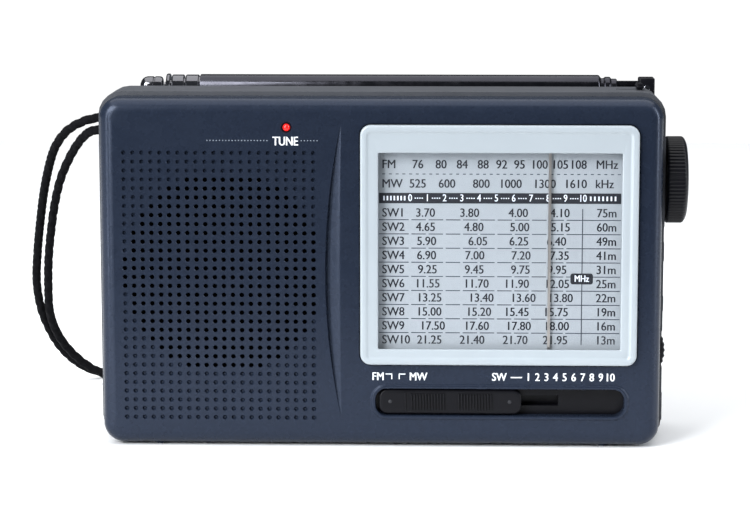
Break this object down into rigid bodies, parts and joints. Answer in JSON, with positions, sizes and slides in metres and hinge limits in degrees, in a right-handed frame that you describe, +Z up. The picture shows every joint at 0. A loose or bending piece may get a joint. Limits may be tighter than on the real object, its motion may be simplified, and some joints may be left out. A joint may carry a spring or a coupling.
{
  "type": "shortwave receiver",
  "caption": "Pocket world-band radio with a slide-rule dial, side tuning knob, long band slider, speaker grille, wrist strap and folding rod antenna.",
  "frame": {"origin": "on the surface the radio stands on, under the middle of the case's width and depth", "axes": "+Z up, -Y out of the dial face, +X towards the tuning knob"},
  "size_m": [0.1463, 0.078, 0.0772],
  "materials": {
    "navy_shell": "satin moulded plastic with a faint pearl",
    "charcoal_shell": "fine matte texture",
    "black_plastic": "satin",
    "silver_frame": "satin silver paint",
    "clear_lens": "polished clear acrylic",
    "dial_print": "pale grey print",
    "chrome": "polished",
    "dark_chrome": "polished, dark",
    "steel": "zinc plated",
    "needle": "brown enamel",
    "white_plastic": "natural nylon",
    "cord": "waxed thread",
    "board": "green solder mask",
    "ferrite": "dull sintered",
    "copper": "enamelled winding",
    "paper_cone": "pressed paper",
    "cell_jacket": null,
    "red_led": "translucent red",
    "strap_braid": "braided nylon"
  },
  "bodies": {
    "case": {"front_shell": "navy_shell", "rear_shell": "charcoal_shell", "display_bezel": "silver_frame", "dial_lens": "clear_lens", "dial_plate": "dial_print", "pointer_rail": "steel", "cord_guide_left": "white_plastic", "cord_guide_right": "white_plastic", "dial_cord": "cord", "main_circuit_board": "board", "tuning_capacitor": "white_plastic", "ferrite_rod": "ferrite", "aerial_coil": "copper", "speaker_basket": "steel", "speaker_cone": "paper_cone", "speaker_dust_cap": "paper_cone", "speaker_magnet": "ferrite", "slider_track": "black_plastic", "band_switch_body": "black_plastic", "volume_pot": "steel", "power_switch_body": "steel", "tuning_led": "red_led", "receiver_chip": "black_plastic", "if_transformer_1": "steel", "if_transformer_2": "steel", "if_transformer_3": "steel", "if_transformer_4": "steel", "filter_capacitor_1": "black_plastic", "filter_capacitor_2": "black_plastic", "earphone_jack": "black_plastic", "dc_jack": "black_plastic", "battery_1": "cell_jacket", "battery_2": "cell_jacket", "battery_spring": "steel", "battery_contact": "steel", "case_screw_1": "steel", "case_screw_2": "steel", "case_screw_3": "steel", "case_screw_4": "steel", "strap_retainer": "black_plastic", "wrist_strap": "strap_braid"},
    "tuning": {"tuning_knob": "black_plastic", "tuning_shaft": "steel"},
    "drum": {"dial_drum": "white_plastic", "capacitor_spindle": "steel", "drum_screw": "steel"},
    "pointer": {"dial_pointer": "needle"},
    "band": {"band_slider": "black_plastic"},
    "volume": {"volume_wheel": "black_plastic"},
    "power": {"power_switch_knob": "black_plastic"},
    "cover": {"battery_cover": "charcoal_shell"},
    "swivel": {"antenna_base": "black_plastic", "antenna_pin": "chrome"},
    "barrel": {"antenna_barrel": "dark_chrome"},
    "section_1": {"antenna_section_1": "chrome"},
    "section_2": {"antenna_section_2": "chrome"},
    "section_3": {"antenna_section_3": "chrome"},
    "section_4": {"antenna_section_4": "chrome", "antenna_tip": "chrome"}
  },
  "joints": [
    {"name": "tuning_turn", "type": "hinge", "parent": "case", "child": "tuning", "pos_m": [0.0603, 0, 0.0557], "axis": [1, 0, 0], "range_deg": [-652, 141]},
    {"name": "drum_turn", "type": "hinge", "parent": "case", "child": "drum", "pos_m": [0.04156, -0.0026, 0.0405], "axis": [0, 1, 0], "range_deg": [-144, 32]},
    {"name": "pointer_slide", "type": "slide", "parent": "case", "child": "pointer", "axis": [1, 0, 0], "range_m": [-0.0299, 0.0065]},
    {"name": "band_slide", "type": "slide", "parent": "case", "child": "band", "axis": [1, 0, 0], "range_m": [0, 0.0211]},
    {"name": "volume_turn", "type": "hinge", "parent": "case", "child": "volume", "pos_m": [0.0524, -0.0063, 0.02], "axis": [0, 1, 0], "range_deg": [-140, 140]},
    {"name": "power_slide", "type": "slide", "parent": "case", "child": "power", "axis": [-1, 0, 0], "range_m": [0, 0.0038]},
    {"name": "cover_pull", "type": "slide", "parent": "case", "child": "cover", "axis": [0, 1, 0], "range_m": [0, 0.02]},
    {"name": "antenna_swivel", "type": "hinge", "parent": "case", "child": "swivel", "pos_m": [0.057, 0.0114, 0.0744], "axis": [0, 0, -1], "range_deg": [0, 180]},
    {"name": "antenna_tilt", "type": "hinge", "parent": "swivel", "child": "barrel", "pos_m": [0.057, 0.0114, 0.0744], "axis": [0, 1, 0], "range_deg": [0, 90]},
    {"name": "antenna_slide_1", "type": "slide", "parent": "barrel", "child": "section_1", "axis": [-1, 0, 0], "range_m": [0, 0.07]},
    {"name": "antenna_slide_2", "type": "slide", "parent": "section_1", "child": "section_2", "axis": [-1, 0, 0], "range_m": [0, 0.07]},
    {"name": "antenna_slide_3", "type": "slide", "parent": "section_2", "child": "section_3", "axis": [-1, 0, 0], "range_m": [0, 0.07]},
    {"name": "antenna_slide_4", "type": "slide", "parent": "section_3", "child": "section_4", "axis": [-1, 0, 0], "range_m": [0, 0.07]}
  ],
  "couplings": [
    {"joint": "drum_turn", "follows": "tuning_turn", "ratio": 0.21959},
    {"joint": "pointer_slide", "follows": "tuning_turn", "m_per_rad": 0.0026}
  ]
}
